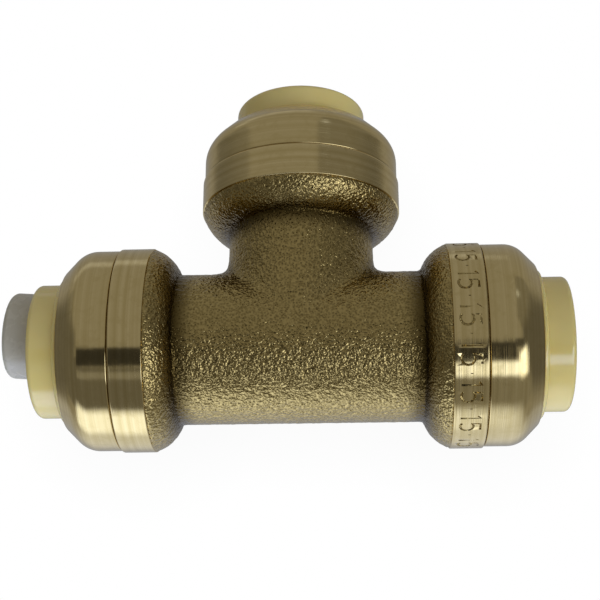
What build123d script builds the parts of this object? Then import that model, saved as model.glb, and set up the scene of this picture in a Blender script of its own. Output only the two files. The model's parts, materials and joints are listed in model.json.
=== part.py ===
from build123d import *
from math import cos, radians, sin
import os

# An equal push-to-connect tee for half-inch copper-tube-size pipe, in millimetres.
# The run lies along X, the branch points along +Y, and the tee rests on the three
# machined bands, with +Z up. The origin is where the three port axes meet.
# "Reach" is the distance from the origin along a port's own axis.

# Driving dimensions
pipe_radius = 7.94
running_gap = 0.10

# Forged body
run_barrel_radius = 10.5
branch_barrel_radius = 10.3
junction_fillet = 3.2
waterway_radius = 6.35
band_radius = 14.25
shoulder_radius = 14.1
shoulder_start = 16.9
band_start = 20.2
seam_reach = 24.8
spigot_radius = 12.6
spigot_end = 26.4

# Steps of the socket, from the pipe stop outwards
pipe_stop = 12.6
guide_radius = pipe_radius + 0.11
gland_start = 19.8
gland_radius = 10.4
seat_start = 22.7
seat_radius = 11.4

# End cap, pressed over the spigot and swaged down to a lip
cap_radius = 14.0
seam_gap = 0.12
dome_start = 28.1
dome_radius = 3.6
lip_reach = 32.4
lip_outer_radius = 10.95
lip_radius = 10.55
lip_inner_reach = 31.05
cap_bore_radius = 11.15

# Release collar and the ring that keeps it in
collar_radius = 9.37
collar_bore_radius = 8.35
collar_end = 36.8
collar_nose_reach = 25.9
collar_flange_radius = 10.85
collar_flange_start = 28.25
collar_flange_end = 29.6
retainer_end = 33.05

# Seal and grip
o_ring_section_radius = 1.31
o_ring_reach = 21.25
protector_end = 24.85
grab_ring_reach = 24.9
sheet_thickness = 0.35
rim_inner_radius = 9.7
rim_outer_radius = 11.2
tooth_tip_radius = 7.75
tooth_tip_reach = 23.75
tooth_count = 12
washer_start = 25.3
washer_bore_radius = 9.95

# Pipe liner, a loose insert that stiffens plastic pipe
liner_radius = 6.05
liner_bore_radius = 4.95
liner_length = 23.8
liner_flange_radius = 7.0
liner_flange_thickness = 1.0
liner_nose_radius = 0.9

# The left liner has slid out of its socket and leans on the collar's bore
loose_liner_lean = 4.0
loose_liner_reach = 17.25
loose_liner_offset = 0.875

up = Vector(0, 0, 1)
port_directions = {
    "left": Vector(-1, 0, 0),
    "right": Vector(1, 0, 0),
    "branch": Vector(0, 1, 0),
}

os.makedirs("parts", exist_ok=True)


def profile_plane(direction, start=Vector(0, 0, 0)):
    """Plane for half sections: local X is the reach, local Y the radius."""
    return Plane(origin=start, x_dir=direction, z_dir=direction.cross(up))


def port_axis(direction, start=Vector(0, 0, 0)):
    return Axis(tuple(start), tuple(direction))


def save(part, name):
    part.label = name
    export_step(part, f"parts/{name}.step")


# Tee body: one forging, with the three sockets bored into it
with BuildPart() as tee_body:
    for name, direction in port_directions.items():
        barrel_radius = branch_barrel_radius if name == "branch" else run_barrel_radius
        with BuildSketch(profile_plane(direction)):
            with BuildLine():
                Polyline(
                    (spigot_end, spigot_radius - 0.2),
                    (spigot_end, 0),
                    (0, 0),
                    (0, barrel_radius),
                    (shoulder_start - 0.5, barrel_radius),
                    (shoulder_start, barrel_radius + 0.3),
                )
                ThreePointArc(
                    (shoulder_start, barrel_radius + 0.3),
                    (shoulder_start + 1.1, 12.65),
                    (band_start, shoulder_radius),
                )
                Polyline(
                    (band_start, shoulder_radius),
                    (band_start + 0.1, band_radius),
                    (seam_reach - 0.12, band_radius),
                    (seam_reach, band_radius - 0.12),
                    (seam_reach, spigot_radius),
                    (spigot_end - 0.2, spigot_radius),
                    (spigot_end, spigot_radius - 0.2),
                )
            make_face()
        revolve(axis=port_axis(direction))
    junction_edges = tee_body.edges().filter_by(GeomType.BSPLINE)
    fillet(junction_edges, radius=junction_fillet)
    for direction in port_directions.values():
        with BuildSketch(profile_plane(direction)):
            with BuildLine():
                Polyline(
                    (0, 0),
                    (0, waterway_radius),
                    (pipe_stop, waterway_radius),
                    (pipe_stop, guide_radius),
                    (gland_start, guide_radius),
                    (gland_start, gland_radius),
                    (seat_start, gland_radius),
                    (seat_start, seat_radius),
                    (spigot_end, seat_radius),
                    (spigot_end, 0),
                    close=True,
                )
            make_face()
        revolve(axis=port_axis(direction), mode=Mode.SUBTRACT)
save(tee_body.part, "tee_body")


def make_end_cap(direction):
    """Turned cap: a plain ring over the spigot, a dome, and the swaged lip."""
    dome_centre_radius = cap_radius - dome_radius
    dome_reach = dome_start + dome_radius * sin(radians(45))
    dome_height = dome_centre_radius + dome_radius * cos(radians(45))
    dome_middle = (
        dome_start + dome_radius * sin(radians(22.5)),
        dome_centre_radius + dome_radius * cos(radians(22.5)),
    )
    slope_run = 1.15
    with BuildPart() as end_cap:
        with BuildSketch(profile_plane(direction)):
            with BuildLine():
                Polyline(
                    (seam_reach + seam_gap, cap_radius - 0.12),
                    (seam_reach + seam_gap + 0.12, cap_radius),
                    (dome_start, cap_radius),
                )
                ThreePointArc((dome_start, cap_radius), dome_middle, (dome_reach, dome_height))
                Line((dome_reach, dome_height), (dome_reach + slope_run, dome_height - slope_run))
                ThreePointArc(
                    (dome_reach + slope_run, dome_height - slope_run),
                    (lip_reach - 0.17, lip_outer_radius + 0.42),
                    (lip_reach, lip_outer_radius),
                )
                Polyline(
                    (lip_reach, lip_outer_radius),
                    (lip_reach, lip_radius + 0.1),
                    (lip_reach - 0.1, lip_radius),
                    (lip_inner_reach, lip_radius),
                    (lip_inner_reach, cap_bore_radius),
                    (spigot_end, cap_bore_radius),
                    (spigot_end, spigot_radius + 0.05),
                    (seam_reach + seam_gap, spigot_radius + 0.05),
                    (seam_reach + seam_gap, cap_radius - 0.12),
                )
            make_face()
        revolve(axis=port_axis(direction))
    return end_cap.part


def make_retainer_ring(direction):
    """Plastic ring behind the lip: the collar slides in it and can't come out."""
    bore = collar_radius + running_gap
    outer = lip_radius - running_gap
    with BuildPart() as retainer_ring:
        with BuildSketch(profile_plane(direction)):
            with BuildLine():
                Polyline(
                    (collar_flange_end + 0.1, bore),
                    (collar_flange_end + 0.1, cap_bore_radius - 0.05),
                    (lip_inner_reach, cap_bore_radius - 0.05),
                    (lip_inner_reach, outer),
                    (lip_reach + 0.1, outer),
                )
                ThreePointArc(
                    (lip_reach + 0.1, outer),
                    (retainer_end - 0.2, outer - 0.22),
                    (retainer_end, outer - 0.62),
                )
                Polyline(
                    (retainer_end, outer - 0.62),
                    (retainer_end, bore + 0.08),
                    (retainer_end - 0.08, bore),
                    (collar_flange_end + 0.1, bore),
                )
            make_face()
        revolve(axis=port_axis(direction))
    return retainer_ring.part


def make_release_collar(direction):
    """Collar: a tapered nose that opens the teeth, a flange, and the push sleeve."""
    edge_radius = 0.75
    edge_step = edge_radius * (1 - sin(radians(45)))
    mouth_chamfer = 0.2
    with BuildPart() as release_collar:
        with BuildSketch(profile_plane(direction)):
            with BuildLine():
                Polyline(
                    (collar_end, collar_radius - edge_radius),
                    (collar_end, collar_bore_radius + mouth_chamfer),
                    (collar_end - mouth_chamfer, collar_bore_radius),
                    (collar_nose_reach, collar_bore_radius),
                    (collar_nose_reach, collar_bore_radius + 0.35),
                    (collar_nose_reach + 1.2, collar_radius - 0.15),
                    (collar_flange_start, collar_radius - 0.15),
                    (collar_flange_start, collar_flange_radius),
                    (collar_flange_end, collar_flange_radius),
                    (collar_flange_end, collar_radius),
                    (collar_end - edge_radius, collar_radius),
                )
                ThreePointArc(
                    (collar_end - edge_radius, collar_radius),
                    (collar_end - edge_step, collar_radius - edge_step),
                    (collar_end, collar_radius - edge_radius),
                )
            make_face()
        revolve(axis=port_axis(direction))
    return release_collar.part


def make_grab_ring(direction):
    """Stainless ring: a flat rim with teeth that lean inwards and bite the pipe."""
    slot_width = 1.3
    tooth_root = (grab_ring_reach, rim_inner_radius + 0.1)
    tooth_tip = (tooth_tip_reach, tooth_tip_radius)
    slot_middle = (tooth_tip_radius + rim_inner_radius) / 2
    slot_depth = 2.4
    with BuildPart() as grab_ring:
        with BuildSketch(profile_plane(direction)):
            with BuildLine():
                Polyline(
                    tooth_root,
                    (grab_ring_reach, rim_outer_radius),
                    (grab_ring_reach + sheet_thickness, rim_outer_radius),
                    (grab_ring_reach + sheet_thickness, rim_inner_radius),
                    (tooth_tip[0] + sheet_thickness, tooth_tip[1]),
                    tooth_tip,
                    close=True,
                )
            make_face()
        revolve(axis=port_axis(direction))
        slot_plane = Plane(origin=direction * (grab_ring_reach + 1), x_dir=up, z_dir=direction)
        with BuildSketch(slot_plane):
            with PolarLocations(slot_middle, tooth_count):
                Rectangle(rim_inner_radius - tooth_tip_radius + 0.4, slot_width)
        extrude(amount=-slot_depth - 1, mode=Mode.SUBTRACT)
    return grab_ring.part


def make_backing_washer(direction):
    """Washer between the grab ring and the cap's inner shoulder."""
    with BuildPart() as washer:
        with BuildSketch(profile_plane(direction)) as section:
            with BuildLine():
                Polyline(
                    (washer_start, washer_bore_radius),
                    (washer_start, seat_radius - 0.1),
                    (spigot_end, seat_radius - 0.1),
                    (spigot_end, washer_bore_radius),
                    close=True,
                )
            make_face()
            chamfer(section.vertices(), length=0.12)
        revolve(axis=port_axis(direction))
    return washer.part


def make_protector(direction):
    """Ring that keeps the teeth off the seal, with a conical recess they flex into."""
    with BuildPart() as protector:
        with BuildSketch(profile_plane(direction)):
            with BuildLine():
                Polyline(
                    (seat_start, guide_radius + 0.1),
                    (seat_start, seat_radius - 0.05),
                    (protector_end, seat_radius - 0.05),
                    (protector_end, seat_radius - 0.9),
                    (seat_start + 0.3, guide_radius + 0.45),
                    (seat_start + 0.3, guide_radius + 0.1),
                    close=True,
                )
            make_face()
        revolve(axis=port_axis(direction))
    return protector.part


def make_o_ring(direction):
    """Round-section seal, squeezed between the gland and the pipe."""
    ring_radius = gland_radius - 0.08 - o_ring_section_radius
    with BuildPart() as o_ring:
        with BuildSketch(profile_plane(direction)):
            with Locations((o_ring_reach, ring_radius)):
                Circle(o_ring_section_radius)
        revolve(axis=port_axis(direction))
    return o_ring.part


def make_pipe_liner(direction, start):
    """Liner along its own axis: the flange first, then the tube and its round nose."""
    step = liner_nose_radius * (1 - sin(radians(45)))
    with BuildPart() as pipe_liner:
        with BuildSketch(profile_plane(direction, start)):
            with BuildLine():
                Polyline(
                    (liner_length, liner_radius - liner_nose_radius),
                    (liner_length, liner_bore_radius + 0.1),
                    (liner_length - 0.1, liner_bore_radius),
                    (0, liner_bore_radius),
                    (0, liner_flange_radius - 0.15),
                    (0.15, liner_flange_radius),
                    (liner_flange_thickness, liner_flange_radius),
                    (liner_flange_thickness, liner_radius),
                    (liner_length - liner_nose_radius, liner_radius),
                )
                ThreePointArc(
                    (liner_length - liner_nose_radius, liner_radius),
                    (liner_length - step, liner_radius - step),
                    (liner_length, liner_radius - liner_nose_radius),
                )
            make_face()
        revolve(axis=port_axis(direction, start))
    return pipe_liner.part


# The same eight pieces go into each port
for name, direction in port_directions.items():
    save(make_end_cap(direction), f"{name}_end_cap")
    save(make_retainer_ring(direction), f"{name}_retainer_ring")
    save(make_release_collar(direction), f"{name}_release_collar")
    save(make_grab_ring(direction), f"{name}_grab_ring")
    save(make_backing_washer(direction), f"{name}_backing_washer")
    save(make_protector(direction), f"{name}_o_ring_protector")
    save(make_o_ring(direction), f"{name}_o_ring")

    liner_direction = direction
    liner_start = direction * (pipe_stop + 0.05)
    if name == "left":
        lean = radians(loose_liner_lean)
        liner_direction = Vector(-cos(lean), sin(lean), 0)
        liner_start = Vector(-loose_liner_reach, loose_liner_offset, 0)
    save(make_pipe_liner(liner_direction, liner_start), f"{name}_pipe_liner")
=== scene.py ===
import json
import math

import bmesh
import bpy
from mathutils import Matrix, Vector

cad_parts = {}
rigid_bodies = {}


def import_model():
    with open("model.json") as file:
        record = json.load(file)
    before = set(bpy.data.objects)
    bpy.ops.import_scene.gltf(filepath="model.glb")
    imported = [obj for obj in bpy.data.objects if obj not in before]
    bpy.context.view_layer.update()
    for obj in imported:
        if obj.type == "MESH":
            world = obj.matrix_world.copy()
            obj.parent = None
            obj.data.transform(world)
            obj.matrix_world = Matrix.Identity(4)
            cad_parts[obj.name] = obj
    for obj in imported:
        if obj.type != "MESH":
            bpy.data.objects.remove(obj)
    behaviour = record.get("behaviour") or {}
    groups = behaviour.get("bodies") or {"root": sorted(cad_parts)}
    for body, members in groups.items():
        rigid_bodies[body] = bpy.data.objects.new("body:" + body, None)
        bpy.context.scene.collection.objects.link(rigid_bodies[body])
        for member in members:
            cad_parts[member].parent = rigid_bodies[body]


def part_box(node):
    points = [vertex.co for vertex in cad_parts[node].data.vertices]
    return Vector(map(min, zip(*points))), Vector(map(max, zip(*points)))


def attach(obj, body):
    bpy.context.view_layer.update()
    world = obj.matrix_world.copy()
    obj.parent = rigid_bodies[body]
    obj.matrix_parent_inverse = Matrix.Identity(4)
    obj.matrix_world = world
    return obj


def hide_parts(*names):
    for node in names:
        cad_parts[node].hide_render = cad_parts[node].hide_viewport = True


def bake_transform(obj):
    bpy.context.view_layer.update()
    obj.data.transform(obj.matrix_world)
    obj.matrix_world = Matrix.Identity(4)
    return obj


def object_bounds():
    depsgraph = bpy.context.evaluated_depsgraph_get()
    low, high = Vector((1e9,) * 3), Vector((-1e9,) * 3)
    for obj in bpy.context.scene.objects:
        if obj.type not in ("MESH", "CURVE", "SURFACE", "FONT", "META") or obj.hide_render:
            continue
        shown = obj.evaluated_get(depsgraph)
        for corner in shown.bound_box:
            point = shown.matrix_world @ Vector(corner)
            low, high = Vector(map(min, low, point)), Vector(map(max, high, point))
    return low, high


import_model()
cadLow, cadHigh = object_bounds()

# Sizes are in millimetres, and a finished mesh is scaled to metres once.
# "Reach" is the distance from the crossing of the port axes along one port's own axis.
mm = 0.001
portAxes = {"left": Vector((-1, 0, 0)), "right": Vector((1, 0, 0)), "branch": Vector((0, 1, 0))}


def portSpan(node):
    # Inner reach, outer reach and radius of a piece in the right port, whose axis is X
    low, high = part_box(node)
    return [round(value / mm, 3) for value in (low.x, high.x, high.z)]


spigotEnd, teeRadius = portSpan("tee_body")[1:]
capIn, capOut, capRadius = portSpan("right_end_cap")
retainerIn, retainerOut, retainerRadius = portSpan("right_retainer_ring")
collarIn, collarOut, flangeRadius = portSpan("right_release_collar")
grabIn, grabOut, grabRadius = portSpan("right_grab_ring")
washerIn, washerOut, washerRadius = portSpan("right_backing_washer")
protectorIn, protectorOut, protectorRadius = portSpan("right_o_ring_protector")
linerIn, linerOut, linerFlangeRadius = portSpan("right_pipe_liner")


# Helpers for node trees

def addNode(tree, kind, inputs=None, **settings):
    node = tree.nodes.new(kind)
    for key, value in settings.items():
        setattr(node, key, value)
    for key, value in (inputs or {}).items():
        if isinstance(value, bpy.types.NodeSocket):
            tree.links.new(value, node.inputs[key])
        else:
            node.inputs[key].default_value = value
    return node


def calc(tree, operation, *values):
    return addNode(tree, "ShaderNodeMath", dict(enumerate(values)), operation=operation).outputs[0]


def vectorCalc(tree, operation, *values):
    node = addNode(tree, "ShaderNodeVectorMath", dict(enumerate(values)), operation=operation)
    return node.outputs["Value" if operation == "DOT_PRODUCT" else "Vector"]


def newTree(name, kind, inputs, outputs):
    tree = bpy.data.node_groups.new(name, kind)
    for label, socketType, value in inputs:
        socket = tree.interface.new_socket(label, in_out="INPUT", socket_type=socketType)
        if value is not None:
            socket.default_value = value
    for label, socketType in outputs:
        tree.interface.new_socket(label, in_out="OUTPUT", socket_type=socketType)
    return tree, tree.nodes.new("NodeGroupInput").outputs, tree.nodes.new("NodeGroupOutput").inputs


geometryIn = ("Geometry", "NodeSocketGeometry", None)
geometryOut = ("Geometry", "NodeSocketGeometry")


def runTree(tree, mesh, settings):
    # Puts the tree on a mesh as a modifier and gives back the plain mesh it makes
    holder = bpy.data.objects.new("holder", mesh)
    bpy.context.scene.collection.objects.link(holder)
    modifier = holder.modifiers.new(tree.name, "NODES")
    modifier.node_group = tree
    for item in tree.interface.items_tree:
        if item.in_out == "INPUT" and item.name in settings:
            modifier[item.identifier] = settings[item.name]
    graph = bpy.context.evaluated_depsgraph_get()
    made = bpy.data.meshes.new_from_object(holder.evaluated_get(graph), depsgraph=graph)
    bpy.data.objects.remove(holder)
    return made


def portMatrix(axis, start=(0, 0, 0)):
    # Local Z runs out along the port, local X points up
    up = Vector((0, 0, 1))
    rotation = Matrix((up, axis.cross(up), axis)).transposed().to_4x4()
    return Matrix.Scale(mm, 4) @ Matrix.Translation(start) @ rotation


def makePiece(name, meshes, body, node):
    # Joins the meshes, which are in place and in metres, as one piece that stands for a CAD node.
    # The body is None for a piece that is left without a body, as the grab rings are.
    parts = []
    for mesh in meshes:
        part = bpy.data.objects.new(name, mesh)
        bpy.context.scene.collection.objects.link(part)
        parts.append(part)
    piece = parts[0]
    if len(parts) > 1:
        with bpy.context.temp_override(active_object=piece, object=piece,
                                       selected_objects=parts, selected_editable_objects=parts):
            bpy.ops.object.join()
    piece.name = name
    piece.data.name = name
    if body:
        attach(piece, body)
    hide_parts(node)
    return piece


# Node groups that several finishes share

def buildTurningLines():
    # Fine rings left by the lathe tool, which follow the turned outline
    tree, given, out = newTree("turningLines", "ShaderNodeTree", [
        ("Lines per mm", "NodeSocketFloat", 5.0),
        ("Fading", "NodeSocketFloat", 0.5),
        ("Coarse", "NodeSocketFloat", 0.2),
        ("Chatter", "NodeSocketFloat", 1.6),
    ], [("Height", "NodeSocketFloat"), ("Mask", "NodeSocketFloat"), ("Bands", "NodeSocketFloat")])
    coarsePerMm, chatterChange = 1.6, 0.0027
    along = addNode(tree, "ShaderNodeAttribute", attribute_name="along", attribute_type="GEOMETRY")
    place = addNode(tree, "ShaderNodeTexCoord")
    fade = addNode(tree, "ShaderNodeTexNoise", {
        "Vector": place.outputs["Object"], "Scale": 220.0, "Detail": 2.0})
    fine = addNode(tree, "ShaderNodeTexNoise", {
        "W": calc(tree, "MULTIPLY", along.outputs["Fac"], given["Lines per mm"]),
        "Scale": 1.0, "Detail": 2.0, "Roughness": 0.6}, noise_dimensions="1D")
    coarse = addNode(tree, "ShaderNodeTexNoise", {
        "W": calc(tree, "MULTIPLY", along.outputs["Fac"], coarsePerMm),
        "Scale": 1.0, "Detail": 3.0}, noise_dimensions="1D")
    # Chatter: slow waves round the ring that change quickly from one line to the next
    chatter = addNode(tree, "ShaderNodeTexNoise", {
        "Vector": place.outputs["Object"],
        "W": calc(tree, "MULTIPLY", along.outputs["Fac"], chatterChange),
        "Scale": 300.0, "Detail": 1.0}, noise_dimensions="4D")
    strength = calc(tree, "SUBTRACT", 1.0, calc(tree, "MULTIPLY", given["Fading"], fade.outputs["Fac"]))
    lines = calc(tree, "MULTIPLY", calc(tree, "SUBTRACT", fine.outputs["Fac"], 0.5), strength)
    waves = calc(tree, "ADD", calc(tree, "MULTIPLY", coarse.outputs["Fac"], given["Coarse"]),
                 calc(tree, "MULTIPLY", chatter.outputs["Fac"], given["Chatter"]))
    height = calc(tree, "ADD", lines, waves)
    tree.links.new(height, out["Height"])
    bands = addNode(tree, "ShaderNodeMapRange", {
        "Value": coarse.outputs["Fac"], "From Min": 0.3, "From Max": 0.7})
    tree.links.new(calc(tree, "ADD", 0.5, lines), out["Mask"])
    tree.links.new(bands.outputs["Result"], out["Bands"])
    return tree


def buildCastGrain():
    # The shot-blasted skin of a brass forging: small rounded bumps with fine pits between
    tree, given, out = newTree("castGrain", "ShaderNodeTree", [
        ("Bumps per m", "NodeSocketFloat", 1750.0),
        ("Pits per m", "NodeSocketFloat", 3600.0),
    ], [("Height", "NodeSocketFloat"), ("Pits", "NodeSocketFloat")])
    place = addNode(tree, "ShaderNodeTexCoord")
    bumps = addNode(tree, "ShaderNodeTexNoise", {
        "Vector": place.outputs["Object"], "Scale": given["Bumps per m"], "Detail": 2.0,
        "Roughness": 0.55})
    pits = addNode(tree, "ShaderNodeTexVoronoi", {
        "Vector": place.outputs["Object"], "Scale": given["Pits per m"]}, feature="SMOOTH_F1")
    hollow = addNode(tree, "ShaderNodeMapRange", {
        "Value": pits.outputs["Distance"], "From Min": 0.1, "From Max": 0.6})
    pitDepth = 0.25
    height = calc(tree, "ADD", bumps.outputs["Fac"],
                  calc(tree, "MULTIPLY", hollow.outputs["Result"], pitDepth))
    tree.links.new(height, out["Height"])
    tree.links.new(hollow.outputs["Result"], out["Pits"])
    return tree


def buildHandling():
    # Slow change of tone and small smudges from handling and storage
    tree, given, out = newTree("handling", "ShaderNodeTree", [
        ("Clouds per m", "NodeSocketFloat", 120.0),
        ("Smudges per m", "NodeSocketFloat", 700.0),
    ], [("Clouds", "NodeSocketFloat"), ("Smudges", "NodeSocketFloat")])
    place = addNode(tree, "ShaderNodeTexCoord")
    clouds = addNode(tree, "ShaderNodeTexNoise", {
        "Vector": place.outputs["Object"], "Scale": given["Clouds per m"], "Detail": 3.0})
    smudges = addNode(tree, "ShaderNodeTexNoise", {
        "Vector": place.outputs["Object"], "Scale": given["Smudges per m"], "Detail": 4.0,
        "Distortion": 0.6})
    shaped = addNode(tree, "ShaderNodeMapRange", {
        "Value": smudges.outputs["Fac"], "From Min": 0.45, "From Max": 0.75},
        interpolation_type="SMOOTHSTEP")
    tree.links.new(clouds.outputs["Fac"], out["Clouds"])
    tree.links.new(shaped.outputs["Result"], out["Smudges"])
    return tree


turningLines = buildTurningLines()
castGrain = buildCastGrain()
handling = buildHandling()


def addGroup(tree, group, **values):
    node = addNode(tree, "ShaderNodeGroup", node_tree=group)
    for key, value in values.items():
        node.inputs[key.replace("_", " ")].default_value = value
    return node.outputs


def blendColours(tree, factor, first, second):
    # Inputs 6 and 7 and output 2 are the colour sockets of the node
    node = addNode(tree, "ShaderNodeMix", {"Factor": factor}, data_type="RGBA")
    for socket, value in ((node.inputs[6], first), (node.inputs[7], second)):
        if isinstance(value, bpy.types.NodeSocket):
            tree.links.new(value, socket)
        else:
            socket.default_value = (*value, 1)
    return node.outputs[2]


def remap(tree, value, low, high):
    return addNode(tree, "ShaderNodeMapRange", {
        "Value": value, "To Min": low, "To Max": high}).outputs["Result"]


def newFinish(name):
    finish = bpy.data.materials.new(name)
    finish.use_nodes = True
    tree = finish.node_tree
    return finish, tree, tree.nodes["Principled BSDF"]


def addBump(tree, shader, height, strength, distance):
    bump = addNode(tree, "ShaderNodeBump", {"Height": height, "Strength": strength, "Distance": distance})
    tree.links.new(bump.outputs["Normal"], shader.inputs["Normal"])


def addScatter(shader, look):
    # Light that sinks into a plastic and comes out near by
    shader.inputs["Subsurface Weight"].default_value = look["scatter"]
    shader.inputs["Subsurface Radius"].default_value = look["scatterRadius"]
    shader.inputs["Subsurface Scale"].default_value = look["scatterScale"]


# Finishes. Each bump is a depth in metres, and a tone is linear red, green and blue.
# The darkest tone is painted shade in the corners and creases of the forging, together with the oxide they
# hold
forgedBrass = {
    "tone": (0.61, 0.457, 0.175), "deepTone": (0.26, 0.185, 0.06), "shadeAndOxideTone": (0.10, 0.066, 0.018),
    "clouds": 0.3, "rough": (0.03, 0.09), "grainBump": 0.000205,
}


def makeForgedFinish():
    finish, tree, shader = newFinish("forgedBrassFinish")
    grain = addGroup(tree, castGrain)
    wear = addGroup(tree, handling)
    tone = blendColours(tree, grain["Pits"], forgedBrass["deepTone"], forgedBrass["tone"])
    clouds = remap(tree, wear["Clouds"], 0.0, forgedBrass["clouds"])
    tone = blendColours(tree, clouds, tone, forgedBrass["deepTone"])
    # Painted shade with some oxide: the corners and creases, where the forging stored its own mask, go
    # towards a dark tone
    shadeAndOxide = addNode(tree, "ShaderNodeAttribute", attribute_name="shadeAndOxide", attribute_type="GEOMETRY")
    tone = blendColours(tree, shadeAndOxide.outputs["Fac"], tone, forgedBrass["shadeAndOxideTone"])
    tree.links.new(tone, shader.inputs["Base Color"])
    tree.links.new(remap(tree, grain["Height"], *forgedBrass["rough"]), shader.inputs["Roughness"])
    addBump(tree, shader, grain["Height"], 1.0, forgedBrass["grainBump"])
    shader.inputs["Metallic"].default_value = 1.0
    return finish


turnedBrass = {
    "tone": (0.825, 0.65, 0.31), "dullTone": (0.67, 0.51, 0.21), "bands": 0.8, "smudges": 0.55,
    "rough": (0.07, 0.13), "smudgeRough": 0.06, "linesPerMm": 7.0, "lineBump": 0.000011,
}


def makeTurnedFinish():
    finish, tree, shader = newFinish("turnedBrassFinish")
    lines = addGroup(tree, turningLines, Lines_per_mm=turnedBrass["linesPerMm"])
    wear = addGroup(tree, handling)
    bands = remap(tree, lines["Bands"], 0.0, turnedBrass["bands"])
    smudges = remap(tree, wear["Smudges"], 0.0, turnedBrass["smudges"])
    tone = blendColours(tree, bands, turnedBrass["tone"], turnedBrass["dullTone"])
    tone = blendColours(tree, smudges, tone, turnedBrass["dullTone"])
    tree.links.new(tone, shader.inputs["Base Color"])
    rough = calc(tree, "ADD", remap(tree, lines["Mask"], *turnedBrass["rough"]),
                 calc(tree, "MULTIPLY", wear["Smudges"], turnedBrass["smudgeRough"]))
    tree.links.new(rough, shader.inputs["Roughness"])
    addBump(tree, shader, lines["Height"], 1.0, turnedBrass["lineBump"])
    shader.inputs["Metallic"].default_value = 1.0
    return finish


creamAcetal = {
    "tone": (0.95, 0.77, 0.275), "warmTone": (0.91, 0.72, 0.24), "rough": (0.10, 0.15), "ior": 1.85,
    "linesPerMm": 3.0, "bumpStrength": 0.6, "lineBump": 0.000004,
    "scatter": 0.25, "scatterRadius": (1.0, 0.8, 0.4), "scatterScale": 0.0006,
}


def makeCreamFinish():
    finish, tree, shader = newFinish("creamAcetalFinish")
    wear = addGroup(tree, handling, Clouds_per_m=180.0)
    lines = addGroup(tree, turningLines, Lines_per_mm=creamAcetal["linesPerMm"])
    tone = blendColours(tree, wear["Clouds"], creamAcetal["tone"], creamAcetal["warmTone"])
    tree.links.new(tone, shader.inputs["Base Color"])
    tree.links.new(remap(tree, wear["Smudges"], *creamAcetal["rough"]), shader.inputs["Roughness"])
    addBump(tree, shader, lines["Height"], creamAcetal["bumpStrength"], creamAcetal["lineBump"])
    shader.inputs["IOR"].default_value = creamAcetal["ior"]
    addScatter(shader, creamAcetal)
    return finish


greyPolymer = {
    "tone": (0.58, 0.53, 0.41), "paleTone": (0.65, 0.60, 0.48), "rough": (0.24, 0.36),
    "bumpStrength": 0.3, "smudgeBump": 0.00001,
    "scatter": 0.3, "scatterRadius": (1.0, 1.0, 0.9), "scatterScale": 0.0015,
}


def makeGreyFinish():
    finish, tree, shader = newFinish("greyPolymerFinish")
    wear = addGroup(tree, handling, Clouds_per_m=260.0)
    tree.links.new(blendColours(tree, wear["Clouds"], greyPolymer["tone"], greyPolymer["paleTone"]),
                   shader.inputs["Base Color"])
    tree.links.new(remap(tree, wear["Smudges"], *greyPolymer["rough"]), shader.inputs["Roughness"])
    addBump(tree, shader, wear["Smudges"], greyPolymer["bumpStrength"], greyPolymer["smudgeBump"])
    addScatter(shader, greyPolymer)
    return finish


springSteel = {
    "tone": (0.62, 0.61, 0.59), "dullTone": (0.52, 0.51, 0.50), "rough": (0.2, 0.38),
    "bumpStrength": 0.3, "smudgeBump": 0.000006,
}


def makeSteelFinish():
    finish, tree, shader = newFinish("stainlessSpringFinish")
    wear = addGroup(tree, handling, Clouds_per_m=400.0)
    tree.links.new(blendColours(tree, wear["Clouds"], springSteel["tone"], springSteel["dullTone"]),
                   shader.inputs["Base Color"])
    tree.links.new(remap(tree, wear["Smudges"], *springSteel["rough"]), shader.inputs["Roughness"])
    addBump(tree, shader, wear["Smudges"], springSteel["bumpStrength"], springSteel["smudgeBump"])
    shader.inputs["Metallic"].default_value = 1.0
    return finish


blackRubber = {
    "tone": (0.018, 0.018, 0.018), "dustTone": (0.035, 0.034, 0.033), "rough": (0.35, 0.6),
    "bumpsPerMetre": 3500.0, "bumpStrength": 0.4, "grainBump": 0.000015,
}


def makeRubberFinish():
    finish, tree, shader = newFinish("blackRubberFinish")
    grain = addGroup(tree, castGrain, Bumps_per_m=blackRubber["bumpsPerMetre"])
    wear = addGroup(tree, handling)
    tree.links.new(blendColours(tree, wear["Clouds"], blackRubber["tone"], blackRubber["dustTone"]),
                   shader.inputs["Base Color"])
    tree.links.new(remap(tree, wear["Smudges"], *blackRubber["rough"]), shader.inputs["Roughness"])
    addBump(tree, shader, grain["Height"], blackRubber["bumpStrength"], blackRubber["grainBump"])
    return finish


forgedFinish = makeForgedFinish()
turnedFinish = makeTurnedFinish()
creamFinish = makeCreamFinish()
greyFinish = makeGreyFinish()
steelFinish = makeSteelFinish()
rubberFinish = makeRubberFinish()
print("finishes made")


# Turned rings: an outline in reach and radius, swept round the port's axis

def roundedOutline(corners, stepAngle=9.0, guard=0.06):
    # Each corner is (reach, radius, rounding).
    # Guard points beside an arc keep the flats flat when they are shaded smooth.
    points = []
    count = len(corners)
    for i, (reach, radius, rounding) in enumerate(corners):
        here = Vector((reach, radius))
        before = Vector(corners[i - 1][:2]) - here
        after = Vector(corners[(i + 1) % count][:2]) - here
        opening = before.angle(after)
        legs = rounding / math.tan(opening / 2)
        bend = math.pi - opening
        steps = max(3, round(math.degrees(bend) / stepAngle))
        start = here + before.normalized() * legs
        end = here + after.normalized() * legs
        inward = (before.normalized() + after.normalized()).normalized()
        centre = here + inward * (rounding / math.sin(opening / 2))
        if before.length > legs + 2 * guard:
            points.append(start + before.normalized() * guard)
        first = start - centre
        side = 1 if first.cross(end - centre) > 0 else -1
        for k in range(steps + 1):
            swing = side * bend * k / steps
            points.append(centre + Matrix.Rotation(swing, 2) @ first)
        if after.length > legs + 2 * guard:
            points.append(end + after.normalized() * guard)
    area = sum(a.cross(b) for a, b in zip(points, points[1:] + points[:1]))
    return points if area < 0 else points[::-1]


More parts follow.
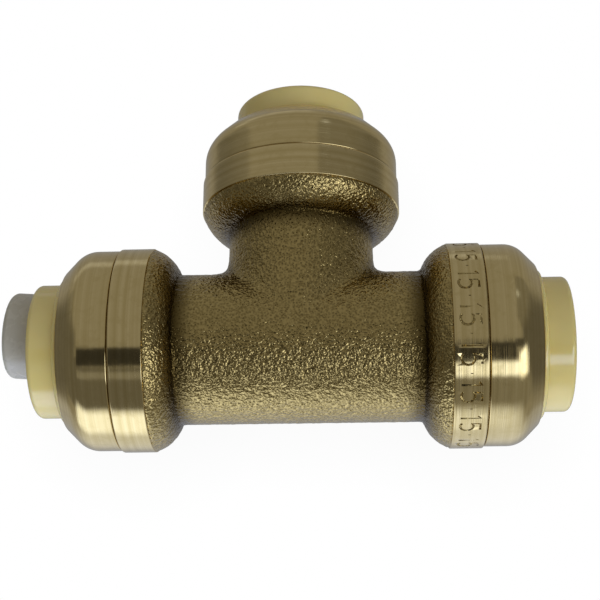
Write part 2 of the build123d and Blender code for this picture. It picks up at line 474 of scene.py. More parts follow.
def buildTurnedRing():
    tree, given, out = newTree("turnedRing", "GeometryNodeTree", [
        geometryIn,
        ("Turn Steps", "NodeSocketInt", 192),
        ("Path Radius", "NodeSocketFloat", 10.0),
        ("Finish", "NodeSocketMaterial", None),
    ], [geometryOut])
    outline = addNode(tree, "GeometryNodeMeshToCurve", {"Mesh": given["Geometry"]})
    length = addNode(tree, "GeometryNodeSplineParameter")
    marked = addNode(tree, "GeometryNodeStoreNamedAttribute", {
        "Geometry": outline.outputs["Curve"], "Name": "along", "Value": length.outputs["Length"]},
        data_type="FLOAT", domain="POINT")
    path = addNode(tree, "GeometryNodeCurvePrimitiveCircle", {
        "Resolution": given["Turn Steps"], "Radius": given["Path Radius"]})
    swept = addNode(tree, "GeometryNodeCurveToMesh", {
        "Curve": path.outputs["Curve"], "Profile Curve": marked.outputs["Geometry"]})
    smooth = addNode(tree, "GeometryNodeSetShadeSmooth", {"Geometry": swept.outputs["Mesh"]})
    real = addNode(tree, "GeometryNodeRealizeInstances", {"Geometry": smooth.outputs["Geometry"]})
    dressed = addNode(tree, "GeometryNodeSetMaterial", {
        "Geometry": real.outputs["Geometry"], "Material": given["Finish"]})
    tree.links.new(dressed.outputs["Geometry"], out["Geometry"])
    return tree


turnedRing = buildTurnedRing()
# The outline is drawn from a circle of this radius, which the size of a ring doesn't depend on
pathRadius = 10.0


def turnOnLathe(corners, finish, steps=192, stepAngle=9.0):
    points = roundedOutline(corners, stepAngle)
    outline = bpy.data.meshes.new("outline")
    edges = [(i, (i + 1) % len(points)) for i in range(len(points))]
    outline.from_pydata([(p.y - pathRadius, -p.x, 0) for p in points], edges, [])
    return runTree(turnedRing, outline, {"Turn Steps": steps, "Path Radius": pathRadius, "Finish": finish})


def onPort(mesh, port):
    placed = mesh.copy()
    placed.transform(portMatrix(portAxes[port]))
    return placed


# Tee body: the forged outside grows from distances to barrels and rounded discs, then is bored

forging = {
    "Run Barrel Radius": 10.5,
    "Branch Barrel Radius": 10.3,
    "Disc Reach": 21.95,
    "Disc Radius": 9.05,
    "Disc Edge Radius": 5.35,
    "Disc Fillet": 0.6,
    "End Reach": 20.3,
    "Junction Fillet": 3.2,
    "Voxel": 0.31,
    "Grain Height": 0.055,
    "Grain per mm": 1.6,
    "Recess Width": 3.1,
    "Waterway Radius": 6.35,
    "Guide Radius": 8.05,
    "Pipe Stop": 12.6,
    "Gland Reach": 19.75,
    "Gland Radius": 10.45,
    "Bore Steps": 128,
}


def buildForgedTee():
    floats = [(name, "NodeSocketFloat", value) for name, value in forging.items() if name != "Bore Steps"]
    tree, given, out = newTree("forgedTee", "GeometryNodeTree", [
        geometryIn, *floats, ("Bore Steps", "NodeSocketInt", 128),
        ("Skin", "NodeSocketMaterial", None), ("Bore", "NodeSocketMaterial", None)], [geometryOut])
    position = addNode(tree, "GeometryNodeInputPosition").outputs[0]
    x, y, z = addNode(tree, "ShaderNodeSeparateXYZ", {"Vector": position}).outputs
    smallest = 1e-4

    def distance(a, b):
        squares = calc(tree, "ADD", calc(tree, "MULTIPLY", a, a), calc(tree, "MULTIPLY", b, b))
        return calc(tree, "SQRT", squares)

    def roundedDisc(reach, radius):
        # A disc whose rim has a large rounding: the shoulder below each socket
        off = calc(tree, "MAXIMUM", calc(tree, "SUBTRACT", radius, given["Disc Radius"]), 0.0)
        return calc(tree, "SUBTRACT", distance(calc(tree, "SUBTRACT", reach, given["Disc Reach"]), off),
                    given["Disc Edge Radius"])

    def corner(a, b):
        # Grows from 0 where two surfaces meet
        return calc(tree, "MAXIMUM", calc(tree, "ABSOLUTE", a), calc(tree, "ABSOLUTE", b))

    def port(reach, radius, barrel):
        wall, disc = calc(tree, "SUBTRACT", radius, barrel), roundedDisc(reach, radius)
        joined = calc(tree, "SMOOTH_MIN", wall, disc, given["Disc Fillet"])
        cutOff = calc(tree, "MAXIMUM", joined, calc(tree, "SUBTRACT", reach, given["End Reach"]))
        return cutOff, corner(wall, disc)

    runRadius, branchRadius = distance(y, z), distance(x, z)
    run, runCorner = port(calc(tree, "ABSOLUTE", x), runRadius, given["Run Barrel Radius"])
    branch, branchCorner = port(y, branchRadius, given["Branch Barrel Radius"])
    branch = calc(tree, "MAXIMUM", branch, calc(tree, "MULTIPLY", y, -1.0))
    # The fillet follows the angle between the two barrels, so it dies out where they touch
    facing = calc(tree, "DIVIDE", calc(tree, "MULTIPLY", z, z),
                  calc(tree, "MAXIMUM", calc(tree, "MULTIPLY", runRadius, branchRadius), smallest))
    halfCosine = calc(tree, "SQRT", calc(tree, "MULTIPLY", calc(tree, "ADD", 1.0, facing), 0.5))
    reachOfFillet = calc(tree, "MULTIPLY", calc(tree, "MULTIPLY", given["Junction Fillet"], 4.0),
                         calc(tree, "SUBTRACT", 1.0, halfCosine))
    outside = calc(tree, "SMOOTH_MIN", run, branch, calc(tree, "MAXIMUM", reachOfFillet, smallest))
    density = calc(tree, "MINIMUM", calc(tree, "MAXIMUM", calc(tree, "SUBTRACT", 1.0, outside), 0.0), 2.0)

    # The volume grid's box, a little larger than the forging
    boxLow, boxHigh = (-20.8, -14.6, -14.6), (20.8, 20.8, 14.6)
    counts = {}
    for label, a, b in zip("XYZ", boxLow, boxHigh):
        counts[f"Resolution {label}"] = calc(tree, "DIVIDE", b - a, given["Voxel"])
    cloud = addNode(tree, "GeometryNodeVolumeCube", {
        "Density": density, "Min": boxLow, "Max": boxHigh, **counts})
    shell = addNode(tree, "GeometryNodeVolumeToMesh", {
        "Volume": cloud.outputs["Volume"], "Threshold": 1.0}, resolution_mode="GRID")
    noise = addNode(tree, "ShaderNodeTexNoise", {
        "Vector": position, "Scale": given["Grain per mm"], "Detail": 2.0, "Roughness": 0.6})
    lift = calc(tree, "MULTIPLY", calc(tree, "SUBTRACT", noise.outputs["Fac"], 0.5),
                calc(tree, "MULTIPLY", given["Grain Height"], 4.0))
    offset = addNode(tree, "ShaderNodeVectorMath", {
        0: addNode(tree, "GeometryNodeInputNormal").outputs["Normal"], "Scale": lift}, operation="SCALE")
    grained = addNode(tree, "GeometryNodeSetPosition", {
        "Geometry": shell.outputs["Mesh"], "Offset": offset.outputs["Vector"]})
    # Painted shade and oxide darken the corners; where the barrels run into each other smoothly there is no
    # corner, so none is painted there
    crossing = calc(tree, "ADD", corner(run, branch), calc(tree, "MULTIPLY", facing, 4.0))
    nearest = calc(tree, "MINIMUM", calc(tree, "MINIMUM", runCorner, branchCorner), crossing)
    shadeAndOxide = addNode(tree, "ShaderNodeMapRange", {
        "Value": nearest, "From Min": given["Recess Width"], "From Max": 0.0},
        interpolation_type="SMOOTHSTEP")
    marked = addNode(tree, "GeometryNodeStoreNamedAttribute", {
        "Geometry": grained.outputs["Geometry"], "Name": "shadeAndOxide", "Value": shadeAndOxide.outputs["Result"]},
        data_type="FLOAT", domain="POINT")

    bored = addNode(tree, "GeometryNodeMeshBoolean", {"Mesh 1": marked.outputs["Geometry"]},
                    operation="DIFFERENCE", solver="MANIFOLD")
    quarter = math.pi / 2

    def bore(radius, start, end, rotation, axis):
        depth = calc(tree, "SUBTRACT", end, start)
        rod = addNode(tree, "GeometryNodeMeshCylinder", {
            "Vertices": given["Bore Steps"], "Radius": radius, "Depth": depth})
        middle = calc(tree, "MULTIPLY", calc(tree, "ADD", start, end), 0.5)
        centre = addNode(tree, "ShaderNodeCombineXYZ", {axis: middle})
        placed = addNode(tree, "GeometryNodeTransform", {
            "Geometry": rod.outputs["Mesh"], "Translation": centre.outputs[0], "Rotation": rotation})
        cutter = addNode(tree, "GeometryNodeStoreNamedAttribute", {
            "Geometry": placed.outputs["Geometry"], "Name": "bored", "Value": True},
            data_type="BOOLEAN", domain="FACE")
        tree.links.new(cutter.outputs["Geometry"], bored.inputs["Mesh 2"])

    farEnd = 22.0
    minusStop = calc(tree, "MULTIPLY", given["Pipe Stop"], -1.0)
    minusGland = calc(tree, "MULTIPLY", given["Gland Reach"], -1.0)
    alongX, alongY = (0, quarter, 0), (-quarter, 0, 0)
    bore(given["Waterway Radius"], -farEnd, farEnd, alongX, 0)
    bore(given["Waterway Radius"], 0.0, farEnd, alongY, 1)
    bore(given["Guide Radius"], given["Pipe Stop"], farEnd, alongX, 0)
    bore(given["Guide Radius"], -farEnd, minusStop, alongX, 0)
    bore(given["Guide Radius"], given["Pipe Stop"], farEnd, alongY, 1)
    bore(given["Gland Radius"], given["Gland Reach"], farEnd, alongX, 0)
    bore(given["Gland Radius"], -farEnd, minusGland, alongX, 0)
    bore(given["Gland Radius"], given["Gland Reach"], farEnd, alongY, 1)
    smooth = addNode(tree, "GeometryNodeSetShadeSmooth", {"Geometry": bored.outputs["Mesh"]})
    real = addNode(tree, "GeometryNodeRealizeInstances", {"Geometry": smooth.outputs["Geometry"]})
    skin = addNode(tree, "GeometryNodeSetMaterial", {
        "Geometry": real.outputs["Geometry"], "Material": given["Skin"]})
    inBore = addNode(tree, "GeometryNodeInputNamedAttribute", {"Name": "bored"}, data_type="BOOLEAN")
    dressed = addNode(tree, "GeometryNodeSetMaterial", {
        "Geometry": skin.outputs["Geometry"], "Selection": inBore.outputs["Attribute"],
        "Material": given["Bore"]})
    tree.links.new(dressed.outputs["Geometry"], out["Geometry"])
    return tree


# The band stands a hundredth under the size of the CAD body, so that nothing is past it
bandRadius = teeRadius - 0.01
socketRing = {
    "steps": 160, "stepAngle": 30.0,
    "outline": [
        (19.6, 8.3, 0.02), (19.6, 13.3, 0.02), (20.2, 14.02, 0.02), (20.3, bandRadius, 0.1),
        (24.8, bandRadius, 0.18), (24.8, 12.6, 0.05), (spigotEnd, 12.6, 0.2), (spigotEnd, 11.4, 0.08),
        (protectorIn, 11.4, 0.05), (protectorIn, 10.4, 0.08), (19.8, 10.4, 0.08), (19.8, 8.06, 0.02),
    ],
}

# Size digits stamped round the right socket ring: a stroke runs through text x and y
sizeMarks = {
    "Groups": 8,
    "Pitch": 5.2,
    "First Angle": -1.08,
    "Band Radius": bandRadius,
    "Middle Reach": 22.5,
    "Stroke Radius": 0.18,
    "Stroke Lift": 0.04,
}


def makeDigits():
    # A one, a five and a dot as plain strokes, about 2.7 tall
    one = [(-0.42, 0.95), (0.0, 1.35), (0.0, -1.35)]
    five = [(0.75, 1.32), (-0.5, 1.32), (-0.6, 0.2)]
    bowl, bowlRadius, bowlStart, bowlStep = (-0.02, -0.46), 0.89, 128, 26
    for step in range(11):
        swing = math.radians(bowlStart - bowlStep * step)
        five.append((bowl[0] + bowlRadius * math.cos(swing), bowl[1] + bowlRadius * math.sin(swing)))
    dot = [(-0.06, 0.0), (0.06, 0.0)]
    points, edges = [], []
    for stroke, shift in ((one, -0.75), (five, 0.85), (dot, 2.85)):
        edges += [(len(points) + i, len(points) + i + 1) for i in range(len(stroke) - 1)]
        points += [(x + shift, y, 0) for x, y in stroke]
    digits = bpy.data.meshes.new("digits")
    digits.from_pydata(points, edges, [])
    return digits


def buildSizeMarks():
    floats = [(name, "NodeSocketFloat", value) for name, value in sizeMarks.items() if name != "Groups"]
    tree, given, out = newTree("sizeMarks", "GeometryNodeTree", [
        geometryIn, ("Groups", "NodeSocketInt", 8), *floats,
        ("Finish", "NodeSocketMaterial", None)], [geometryOut])
    strokes = addNode(tree, "GeometryNodeMeshToCurve", {"Mesh": given["Geometry"]})
    spacing = addNode(tree, "ShaderNodeCombineXYZ", {0: given["Pitch"]})
    spots = addNode(tree, "GeometryNodeMeshLine", {"Count": given["Groups"], "Offset": spacing.outputs[0]})
    repeated = addNode(tree, "GeometryNodeInstanceOnPoints", {
        "Points": spots.outputs["Mesh"], "Instance": strokes.outputs["Curve"]})
    real = addNode(tree, "GeometryNodeRealizeInstances", {"Geometry": repeated.outputs["Instances"]})
    position = addNode(tree, "GeometryNodeInputPosition").outputs[0]
    text = addNode(tree, "ShaderNodeSeparateXYZ", {"Vector": position})
    swing = calc(tree, "ADD", calc(tree, "DIVIDE", text.outputs[0], given["Band Radius"]),
                 given["First Angle"])
    radius = calc(tree, "ADD", given["Band Radius"], given["Stroke Lift"])
    wrapped = addNode(tree, "ShaderNodeCombineXYZ", {
        0: calc(tree, "MULTIPLY", radius, calc(tree, "COSINE", swing)),
        1: calc(tree, "MULTIPLY", radius, calc(tree, "SINE", swing)),
        2: calc(tree, "ADD", given["Middle Reach"], text.outputs[1])})
    placed = addNode(tree, "GeometryNodeSetPosition", {
        "Geometry": real.outputs["Geometry"], "Position": wrapped.outputs[0]})
    tip = addNode(tree, "GeometryNodeCurvePrimitiveCircle", {
        "Resolution": 8, "Radius": given["Stroke Radius"]})
    tubes = addNode(tree, "GeometryNodeCurveToMesh", {
        "Curve": placed.outputs["Geometry"], "Profile Curve": tip.outputs["Curve"], "Fill Caps": True})
    solid = addNode(tree, "GeometryNodeRealizeInstances", {"Geometry": tubes.outputs["Mesh"]})
    dressed = addNode(tree, "GeometryNodeSetMaterial", {
        "Geometry": solid.outputs["Geometry"], "Material": given["Finish"]})
    tree.links.new(dressed.outputs["Geometry"], out["Geometry"])
    return tree


def cutAway(mesh, cutter):
    body, tool = bpy.data.objects.new("body", mesh), bpy.data.objects.new("tool", cutter)
    for item in (body, tool):
        bpy.context.scene.collection.objects.link(item)
    cut = body.modifiers.new("cut", "BOOLEAN")
    cut.operation, cut.solver, cut.material_mode = "DIFFERENCE", "MANIFOLD", "TRANSFER"
    cut.object = tool
    graph = bpy.context.evaluated_depsgraph_get()
    made = bpy.data.meshes.new_from_object(body.evaluated_get(graph), depsgraph=graph)
    for item in (body, tool):
        bpy.data.objects.remove(item)
    return made


def restoreBand(mesh):
    # The cuts split the band into uneven faces: its line marks and its true round normals are set again
    if "along" in mesh.attributes:
        mesh.attributes.remove(mesh.attributes["along"])
    along = mesh.attributes.new("along", "FLOAT", "POINT")
    along.data.foreach_set("value", [vertex.co.z for vertex in mesh.vertices])
    normals = [corner.vector.copy() for corner in mesh.corner_normals]
    lowestFace, straightOut = bandRadius - 0.02, 0.999
    for face in mesh.polygons:
        outward = Vector((face.center.x, face.center.y, 0))
        if outward.length > lowestFace and face.normal.dot(outward.normalized()) > straightOut:
            for corner in face.loop_indices:
                point = mesh.vertices[mesh.loops[corner].vertex_index].co
                normals[corner] = Vector((point.x, point.y, 0)).normalized()
    mesh.normals_split_custom_set(normals)


forgedMesh = runTree(buildForgedTee(), bpy.data.meshes.new("seed"), {
    **forging, "Skin": forgedFinish, "Bore": turnedFinish})
forgedMesh.transform(Matrix.Scale(mm, 4))
boreEdge, cutEdge = math.radians(50), math.radians(40)
forgedMesh.set_sharp_from_angle(angle=boreEdge)
print("forged body:", len(forgedMesh.polygons), "faces")
socketMesh = turnOnLathe(socketRing["outline"], turnedFinish, socketRing["steps"], socketRing["stepAngle"])
digitTubes = runTree(buildSizeMarks(), makeDigits(), {**sizeMarks, "Finish": forgedFinish})
stampedMesh = cutAway(socketMesh, digitTubes)
stampedMesh.set_sharp_from_angle(angle=cutEdge)
restoreBand(stampedMesh)
print("stamped ring:", len(socketMesh.polygons), "to", len(stampedMesh.polygons), "faces")
makePiece("teeBody", [forgedMesh, onPort(socketMesh, "left"), onPort(socketMesh, "branch"),
                      onPort(stampedMesh, "right")], "tee", "tee_body")

# Pieces that are the same in each port. The corners of an outline go once round its section.
endCap = {
    "node": "end_cap", "body": "tee", "finish": turnedFinish, "slot": "turned_brass",
    "steps": 256, "stepAngle": 5.0,
    "outline": [
        (capIn, capRadius, 0.18), (29.6, capRadius, 3.6), (capOut, 11.2, 0.6), (capOut, 10.55, 0.08),
        (31.05, 10.55, 0.05), (31.05, 11.15, 0.05), (spigotEnd, 11.15, 0.05), (spigotEnd, 12.65, 0.05),
        (capIn, 12.65, 0.05),
    ],
}
retainerRing = {
    "node": "retainer_ring", "body": "tee", "finish": creamFinish, "slot": "cream_acetal",
    "steps": 192, "stepAngle": 9.0,
    "outline": [
        (retainerIn, 9.47, 0.05), (retainerIn, retainerRadius, 0.05), (31.05, retainerRadius, 0.05),
        (31.05, 10.45, 0.05), (retainerOut, 10.45, 0.55), (retainerOut, 9.47, 0.08),
    ],
}
releaseCollar = {
    "node": "release_collar", "body": "{}_collar", "finish": creamFinish, "slot": "cream_acetal",
    "steps": 192, "stepAngle": 9.0,
    "outline": [
        (collarOut, 9.37, 0.75), (collarOut, 8.35, 0.2), (collarIn, 8.35, 0.08), (collarIn, 8.7, 0.08),
        (27.1, 9.22, 0.1), (28.25, 9.22, 0.1), (28.25, flangeRadius, 0.1), (29.6, flangeRadius, 0.1),
        (29.6, 9.37, 0.05),
    ],
}
backingWasher = {
    "node": "backing_washer", "body": "tee", "finish": creamFinish, "slot": "cream_acetal",
    "steps": 128, "stepAngle": 15.0,
    "outline": [
        (washerIn, 9.95, 0.12), (washerIn, washerRadius, 0.12), (washerOut, washerRadius, 0.12),
        (washerOut, 9.95, 0.12),
    ],
}
sealProtector = {
    "node": "o_ring_protector", "body": "tee", "finish": creamFinish, "slot": "cream_acetal",
    "steps": 128, "stepAngle": 15.0,
    "outline": [
        (protectorIn, 8.15, 0.05), (protectorIn, protectorRadius, 0.1), (protectorOut, protectorRadius, 0.1),
        (protectorOut, 10.5, 0.06), (23.0, 8.5, 0.05), (23.0, 8.15, 0.05),
    ],
}
sealReach, sealRadius, sealSection, sealRounding = 21.25, 9.01, 1.31, 1.3
sealRing = {
    "node": "o_ring", "body": "tee", "finish": rubberFinish, "slot": "black_rubber",
    "steps": 128, "stepAngle": 15.0,
    # A square whose roundings nearly meet is a round section
    "outline": [(sealReach + a * sealSection, sealRadius + b * sealSection, sealRounding)
                for a, b in ((-1, -1), (-1, 1), (1, 1), (1, -1))],
}
linerLength = linerOut - linerIn
pipeLiner = {
    "steps": 160,
    "outline": [
        (0, 4.95, 0.08), (0, linerFlangeRadius, 0.15), (1.0, linerFlangeRadius, 0.15), (1.0, 6.05, 0.25),
        (linerLength, 6.05, 0.9), (linerLength, 4.95, 0.1),
    ],
    "looseStart": (-17.25, 0.875, 0), "looseLean": 4.0,
}

portPieces = {
    "EndCap": endCap, "RetainerRing": retainerRing, "ReleaseCollar": releaseCollar,
    "BackingWasher": backingWasher, "SealProtector": sealProtector, "SealRing": sealRing,
}
for label, look in portPieces.items():
    made = turnOnLathe(look["outline"], look["finish"], look["steps"], look["stepAngle"])
    for port in portAxes:
        makePiece(port + label, [onPort(made, port)], look["body"].format(port),
                  f"{port}_{look['node']}")
    print(label, "made")

linerMesh = turnOnLathe(pipeLiner["outline"], greyFinish, pipeLiner["steps"])
for port, axis in portAxes.items():
    start = axis * linerIn
    if port == "left":
        # The left liner has slid half out and leans in its socket
        lean = math.radians(pipeLiner["looseLean"])
        axis, start = Vector((-math.cos(lean), math.sin(lean), 0)), Vector(pipeLiner["looseStart"])
    placed = linerMesh.copy()
    placed.transform(portMatrix(axis, start))
    makePiece(port + "PipeLiner", [placed], f"{port}_liner", f"{port}_pipe_liner")
print("liners made")

# Grab rings: a flat rim and twelve teeth that lean in towards the stop
grabRing = {
    "rim": [(24.9, 9.7, 0.08), (24.9, grabRadius, 0.12), (grabOut, grabRadius, 0.12), (grabOut, 9.7, 0.08)],
    "steps": 144, "stepAngle": 20.0,
    "thickness": 0.35, "rootRadius": 9.95, "tipRadius": 7.75, "rootReach": 24.9, "tipReach": grabIn,
    "teeth": 12, "slotWidth": 1.3, "curl": 1.15,
    # The narrowing and thinning of a tooth, and the share of its length where each begins
    "pinch": 0.16, "pinchFrom": 0.75, "thinning": 0.35, "thinFrom": 0.8,
    # Two reaches given for a bend of the teeth when the collar pushes them
    "bendStart": 25.0, "bendEnd": 23.0,
}


def makeTooth():
    # One tooth in the port's own frame, as a closed plate that narrows and thins at its tip
    g = grabRing
    mesh = bmesh.new()
    rows, columns = 8, 6
    layers = []
    for side in (0, 1):
        grid = []
        for i in range(rows + 1):
            s = i / rows
            radius = g["rootRadius"] + (g["tipRadius"] - g["rootRadius"]) * s
            reach = g["rootReach"] + (g["tipReach"] - g["rootReach"]) * s ** g["curl"]
            pinched = max(0.0, (s - g["pinchFrom"]) / (1 - g["pinchFrom"])) ** 2
            thinned = max(0.0, (s - g["thinFrom"]) / (1 - g["thinFrom"]))
            halfWidth = (2 * math.pi * radius / g["teeth"] - g["slotWidth"]) / 2
            halfWidth *= 1 - g["pinch"] * pinched
            thick = g["thickness"] * (1 - g["thinning"] * thinned)
            row = []
            for j in range(columns + 1):
                angle = halfWidth / radius * (2 * j / columns - 1)
                row.append(mesh.verts.new((radius * math.cos(angle), radius * math.sin(angle),
                                           reach + thick * side)))
            grid.append(row)
        layers.append(grid)
    low, high = layers
    for i in range(rows):
        for j in range(columns):
            mesh.faces.new((low[i][j], low[i + 1][j], low[i + 1][j + 1], low[i][j + 1]))
            mesh.faces.new((high[i][j], high[i][j + 1], high[i + 1][j + 1], high[i + 1][j]))
        for j in (0, columns):
            mesh.faces.new((low[i][j], high[i][j], high[i + 1][j], low[i + 1][j]))
    for j in range(columns):
        for i in (0, rows):
            mesh.faces.new((low[i][j], low[i][j + 1], high[i][j + 1], high[i][j]))
    bmesh.ops.recalc_face_normals(mesh, faces=mesh.faces)
    tooth = bpy.data.meshes.new("tooth")
    mesh.to_mesh(tooth)
    mesh.free()
    return tooth


def buildToothRow():
    tree, given, out = newTree("toothRow", "GeometryNodeTree", [
        geometryIn, ("Teeth", "NodeSocketInt", 12), ("Finish", "NodeSocketMaterial", None)], [geometryOut])
    spots = addNode(tree, "GeometryNodeMeshLine", {"Count": given["Teeth"], "Offset": (0, 0, 0)})
    share = calc(tree, "DIVIDE", addNode(tree, "GeometryNodeInputIndex").outputs[0], given["Teeth"])
    swing = addNode(tree, "ShaderNodeCombineXYZ", {2: calc(tree, "MULTIPLY", share, 2 * math.pi)})
    placed = addNode(tree, "GeometryNodeInstanceOnPoints", {
        "Points": spots.outputs["Mesh"], "Instance": given["Geometry"], "Rotation": swing.outputs[0]})
    real = addNode(tree, "GeometryNodeRealizeInstances", {"Geometry": placed.outputs["Instances"]})
    smooth = addNode(tree, "GeometryNodeSetShadeSmooth", {"Geometry": real.outputs["Geometry"]})
    dressed = addNode(tree, "GeometryNodeSetMaterial", {
        "Geometry": smooth.outputs["Geometry"], "Material": given["Finish"]})
    tree.links.new(dressed.outputs["Geometry"], out["Geometry"])
    return tree


teethMesh = runTree(buildToothRow(), makeTooth(), {"Teeth": grabRing["teeth"], "Finish": steelFinish})
teethMesh.set_sharp_from_angle(angle=cutEdge)
rimMesh = turnOnLathe(grabRing["rim"], steelFinish, grabRing["steps"], grabRing["stepAngle"])
for port, axis in portAxes.items():
    piece = makePiece(port + "GrabRing", [onPort(teethMesh, port), onPort(rimMesh, port)],
                      None, f"{port}_grab_ring")
    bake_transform(piece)
print("grab rings made")

# Camera: its place, and the point on the port axes that it looks at
camera = {
    "place": (7.36, -58.27, 172.80), "aim": (-0.17, 7.20, 0.0), "upHint": (0.0017, 1.0, 0.0),
    "lens": 78.19, "sensor": 36.0, "clip": (0.005, 20.0),
}


def makeCamera():
    place = Vector(camera["place"]) * mm
    back = (place - Vector(camera["aim"]) * mm).normalized()
    across = Vector(camera["upHint"]).cross(back).normalized()
    up = back.cross(across)
    data = bpy.data.cameras.new("camera")
    data.lens = camera["lens"]
    data.sensor_width = camera["sensor"]
    data.clip_start, data.clip_end = camera["clip"]
    item = bpy.data.objects.new("camera", data)
    item.matrix_world = Matrix.Translation(place) @ Matrix((across, up, back)).transposed().to_4x4()
    bpy.context.scene.collection.objects.link(item)
    bpy.context.scene.camera = item


makeCamera()

# Studio: a soft dome with a few large soft boxes and dark cards, and a pale floor.
# tilt is the angle from straight up towards -Y and lean the angle towards +X, in degrees.
# A later box covers an earlier one, and cool is how far its light goes to daylight.
studio = {
    "dome": 0.275,
    "softLightBase": 1.05,
    "softLightGain": 0.75,
    "daylight": (1.0, 1.13, 1.48),
    "boxes": [
        {"tilt": -40, "lean": -75, "tiltHalf": 30, "leanHalf": 24, "soft": 0.06, "light": 0.205, "cool": 0.0},
        {"tilt": -40, "lean": 55, "tiltHalf": 30, "leanHalf": 35, "soft": 0.03, "light": 0.195, "cool": 0.0},
        {"tilt": 24, "lean": -83, "tiltHalf": 27, "leanHalf": 42, "soft": 0.24, "light": 0.13, "cool": 0.0},
        {"tilt": 24, "lean": 80, "tiltHalf": 27, "leanHalf": 40, "soft": 0.24, "light": 0.115, "cool": 0.0},
        {"tilt": 62, "lean": -36, "tiltHalf": 28, "leanHalf": 39, "soft": 0.05, "light": 0.135, "cool": 0.0},
        {"tilt": 76, "lean": 36, "tiltHalf": 26, "leanHalf": 32, "soft": 0.12, "light": 0.22, "cool": 0.0},
        {"tilt": 162, "lean": -5, "tiltHalf": 24, "leanHalf": 50, "soft": 0.20, "light": 0.40, "cool": 0.5},
        {"tilt": 129, "lean": 0, "tiltHalf": 34, "leanHalf": 32, "soft": 0.34, "light": 0.72, "cool": 0.8},
        {"tilt": 108, "lean": -19, "tiltHalf": 17, "leanHalf": 21, "soft": 0.14, "light": 1.30, "cool": 1.0},
        {"tilt": 25, "lean": -12, "tiltHalf": 10, "leanHalf": 24, "soft": 0.03, "light": 0.035, "cool": 0.0},
        {"tilt": 16, "lean": 28, "tiltHalf": 4.5, "leanHalf": 20, "soft": 0.03, "light": 0.07, "cool": 0.0},
        {"tilt": 45, "lean": 19, "tiltHalf": 8, "leanHalf": 17, "soft": 0.06, "light": 1.45, "cool": 0.9},
        {"tilt": 42, "lean": 42, "tiltHalf": 13, "leanHalf": 16, "soft": 0.07, "light": 1.90, "cool": 0.7},
        {"tilt": 46, "lean": -17, "tiltHalf": 4, "leanHalf": 18, "soft": 0.03, "light": 0.24, "cool": 0.2},
        {"tilt": -99, "lean": -18, "tiltHalf": 5, "leanHalf": 24, "soft": 0.06, "light": 0.42, "cool": 0.3},
        {"tilt": -44, "lean": 25.5, "tiltHalf": 3.5, "leanHalf": 3.5, "soft": 0.06, "light": 0.6,
         "cool": 0.9},
    ],
}


def buildSoftBox():
    tree, given, out = newTree("softBox", "ShaderNodeTree", [
        ("Direction", "NodeSocketVector", None), ("Centre", "NodeSocketVector", None),
        ("Across", "NodeSocketVector", None), ("Half Across", "NodeSocketFloat", 0.5),
        ("Half Along", "NodeSocketFloat", 0.5), ("Soft", "NodeSocketFloat", 0.1),
    ], [("Mask", "NodeSocketFloat")])
    ahead = vectorCalc(tree, "DOT_PRODUCT", given["Direction"], given["Centre"])
    safe = calc(tree, "MAXIMUM", ahead, 0.001)
    along = vectorCalc(tree, "CROSS_PRODUCT", given["Centre"], given["Across"])
    mask = calc(tree, "GREATER_THAN", ahead, 0.001)
    for side, half in ((given["Across"], "Half Across"), (along, "Half Along")):
        off = vectorCalc(tree, "DOT_PRODUCT", given["Direction"], side)
        off = calc(tree, "ABSOLUTE", calc(tree, "DIVIDE", off, safe))
        edge = addNode(tree, "ShaderNodeMapRange", {
            "Value": off, "From Min": calc(tree, "ADD", given[half], given["Soft"]),
            "From Max": calc(tree, "SUBTRACT", given[half], given["Soft"])}, interpolation_type="SMOOTHSTEP")
        mask = calc(tree, "MULTIPLY", mask, edge.outputs["Result"])
    tree.links.new(mask, out["Mask"])
    return tree


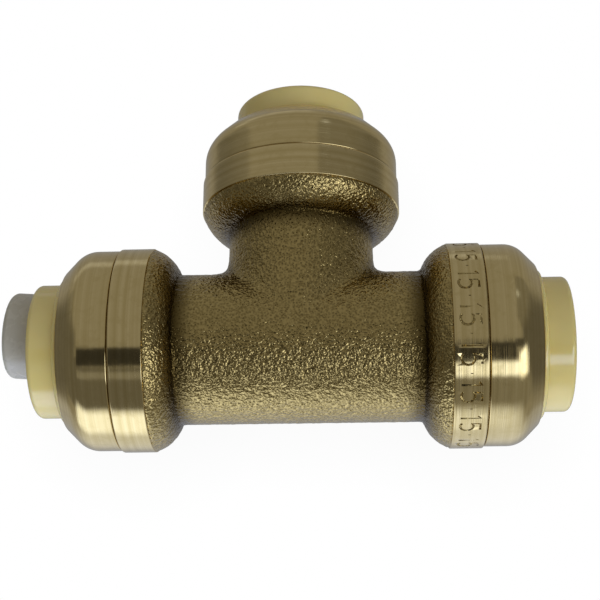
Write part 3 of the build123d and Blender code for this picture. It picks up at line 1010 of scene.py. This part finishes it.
def makeDome():
    world = bpy.data.worlds.new("studio")
    bpy.context.scene.world = world
    world.use_nodes = True
    tree = world.node_tree
    direction = addNode(tree, "ShaderNodeTexCoord").outputs["Generated"]
    softBox = buildSoftBox()
    light = (studio["dome"],) * 3
    for box in studio["boxes"]:
        tilt, lean = math.radians(box["tilt"]), math.radians(box["lean"])
        centre = Vector((math.sin(lean), -math.sin(tilt) * math.cos(lean), math.cos(tilt) * math.cos(lean)))
        across = Vector((0, -math.cos(tilt), -math.sin(tilt)))
        lit = addNode(tree, "ShaderNodeGroup", node_tree=softBox)
        tree.links.new(direction, lit.inputs["Direction"])
        lit.inputs["Centre"].default_value = centre
        lit.inputs["Across"].default_value = across
        lit.inputs["Half Across"].default_value = math.tan(math.radians(box["tiltHalf"]))
        lit.inputs["Half Along"].default_value = math.tan(math.radians(box["leanHalf"]))
        lit.inputs["Soft"].default_value = box["soft"]
        colour = tuple(box["light"] * (1 + box["cool"] * (c - 1)) for c in studio["daylight"])
        light = blendColours(tree, lit.outputs["Mask"], light, colour)
    path = addNode(tree, "ShaderNodeLightPath")
    # The lamps are brighter than a mirror image of them shows, so soft light gains from the bright boxes
    level = addNode(tree, "ShaderNodeRGBToBW", {"Color": light}).outputs["Val"]
    gain = calc(tree, "MULTIPLY_ADD", level, studio["softLightGain"], studio["softLightBase"])
    boost = addNode(tree, "ShaderNodeMapRange", {
        "Value": path.outputs["Is Diffuse Ray"], "To Min": 1.0, "To Max": gain})
    shown = blendColours(tree, path.outputs["Is Camera Ray"], light, (1.0, 1.0, 1.0))
    background = tree.nodes["Background"]
    tree.links.new(shown, background.inputs["Color"])
    tree.links.new(boost.outputs["Result"], background.inputs["Strength"])


# The floor in metres: its half width, and how dark and how wide the painted shade under the piece is
paleFloor = {"reach": 3.0, "shade": 0.94, "shadeWidth": 0.012}


def makeFloor():
    data = bpy.data.meshes.new("floor")
    reach, level = paleFloor["reach"], cadLow.z
    corners = [(-reach, -reach), (reach, -reach), (reach, reach), (-reach, reach)]
    data.from_pydata([(x, y, level) for x, y in corners], [], [(0, 1, 2, 3)])
    floor = bpy.data.objects.new("floor", data)
    bpy.context.scene.collection.objects.link(floor)
    paper = bpy.data.materials.new("paleFloor")
    paper.use_nodes = True
    tree = paper.node_tree
    tree.nodes.remove(tree.nodes["Principled BSDF"])
    # Painted shadow: the floor only glows, so the shade under the piece is painted into its glow from ambient
    # occlusion
    shade = addNode(tree, "ShaderNodeAmbientOcclusion", {"Distance": paleFloor["shadeWidth"]}, samples=8)
    tone = addNode(tree, "ShaderNodeMapRange", {
        "Value": shade.outputs["AO"], "To Min": paleFloor["shade"], "To Max": 1.0})
    emission = addNode(tree, "ShaderNodeEmission", {"Color": tone.outputs["Result"]})
    tree.links.new(emission.outputs[0], tree.nodes["Material Output"].inputs["Surface"])
    data.materials.append(paper)
    # The dome lights the piece from all round, so the floor is only seen and casts nothing
    floor.visible_glossy = floor.visible_diffuse = floor.visible_transmission = floor.visible_shadow = False


makeDome()
makeFloor()
bpy.context.scene.view_settings.view_transform = "Standard"
print("studio made")
